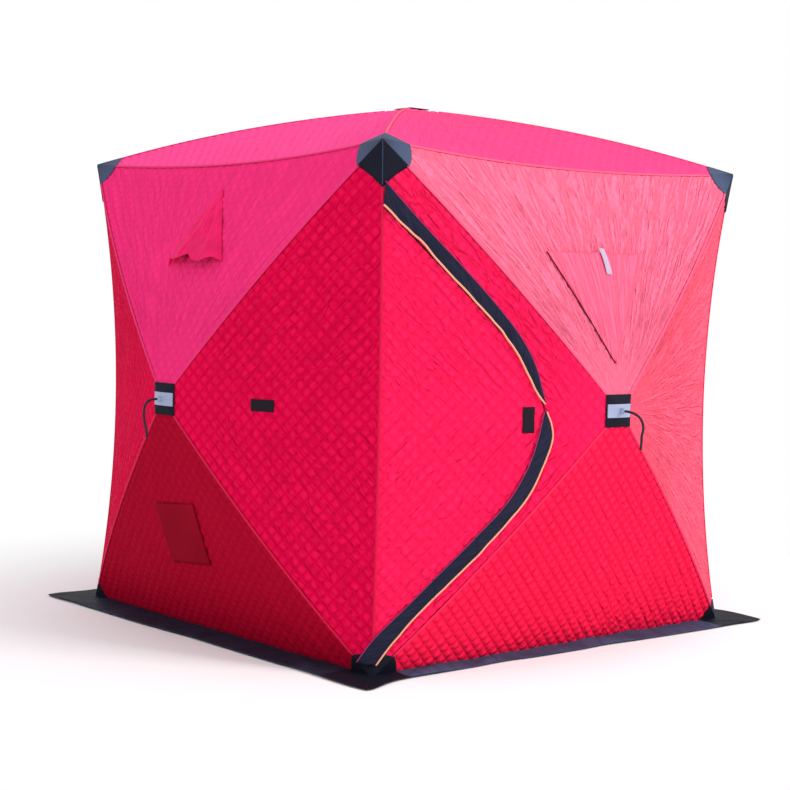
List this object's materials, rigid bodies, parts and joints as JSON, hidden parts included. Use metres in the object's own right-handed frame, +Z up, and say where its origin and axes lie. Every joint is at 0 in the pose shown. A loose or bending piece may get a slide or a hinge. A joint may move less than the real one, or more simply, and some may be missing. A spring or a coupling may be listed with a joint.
{
  "type": "ice fishing hut",
  "caption": "Square pop-up ice fishing shelter of quilted fabric over hubs of bent poles, with a zipped corner door, window flaps, hooded vents and a snow skirt.",
  "frame": {"origin": "middle of the ground square, on the ground", "axes": "+Z up, the wall with the door faces -Y, its door is at the -X end, metres"},
  "size_m": [2.5212, 2.5212, 2.0366],
  "materials": {
    "roof_fabric": "quilted, matt",
    "top_fabric": "quilted, matt",
    "side_fabric": "quilted, matt",
    "bottom_fabric": "quilted, matt",
    "flap_fabric": "plain weave, matt",
    "tab_fabric": "hook and loop tape",
    "skirt_fabric": "coated weave",
    "reinforcement": "coated, matt",
    "webbing": "braided",
    "mesh": "open mesh",
    "clear_film": "clear film",
    "pole": "glass fibre rod",
    "hub_plastic": "moulded",
    "hub_core": "moulded",
    "eyelet_metal": "plated"
  },
  "bodies": {
    "shell": {"roof_front": "roof_fabric", "front_top_panel": "top_fabric", "front_bottom_panel": "bottom_fabric", "front_poles": "pole", "pull_strap_front": "webbing", "snow_skirt_front": "skirt_fabric", "roof_left": "roof_fabric", "left_top_panel": "top_fabric", "left_bottom_panel": "bottom_fabric", "left_poles": "pole", "pull_strap_left": "webbing", "snow_skirt_left": "skirt_fabric", "roof_back": "roof_fabric", "back_top_panel": "top_fabric", "back_bottom_panel": "bottom_fabric", "back_poles": "pole", "pull_strap_back": "webbing", "snow_skirt_back": "skirt_fabric", "roof_right": "roof_fabric", "right_top_panel": "top_fabric", "right_bottom_panel": "bottom_fabric", "right_poles": "pole", "pull_strap_right": "webbing", "snow_skirt_right": "skirt_fabric", "left_side_panels": "side_fabric", "back_side_panels": "side_fabric", "right_side_panels": "side_fabric", "front_side_panel": "side_fabric", "door_surround_upper": "side_fabric", "door_surround_lower": "side_fabric", "storm_flap_upper": "flap_fabric", "wall_tab": "tab_fabric", "window_flaps": "top_fabric", "vent_hoods": "top_fabric", "window_panes": "clear_film", "window_toggles": "tab_fabric", "vent_meshes": "mesh", "lower_patches": "flap_fabric", "top_corner_caps": "reinforcement", "bottom_corner_patches": "reinforcement", "hub_patches": "reinforcement", "hub_plates": "hub_plastic", "wall_hubs": "hub_core", "roof_hub": "hub_core", "corner_sockets": "hub_core", "pole_feet": "hub_core", "roof_poles": "pole", "skirt_eyelets": "eyelet_metal"},
    "door_fold": {"door_hem": "side_fabric"},
    "door": {"door_leaf": "side_fabric", "storm_flap_lower": "flap_fabric", "door_tab": "tab_fabric"}
  },
  "joints": [
    {"name": "door_fold_hinge", "type": "hinge", "parent": "shell", "child": "door_fold", "pos_m": [-0.912, -0.912, 0.85], "axis": [0, 0, -1], "range_deg": [0, 115]},
    {"name": "door_hinge", "type": "hinge", "parent": "door_fold", "child": "door", "pos_m": [-0.912, -0.912, 0.85], "axis": [0, 0, -1], "range_deg": [0, 115]}
  ],
  "couplings": [
    {"joint": "door_fold_hinge", "follows": "door_hinge", "ratio": 1}
  ]
}
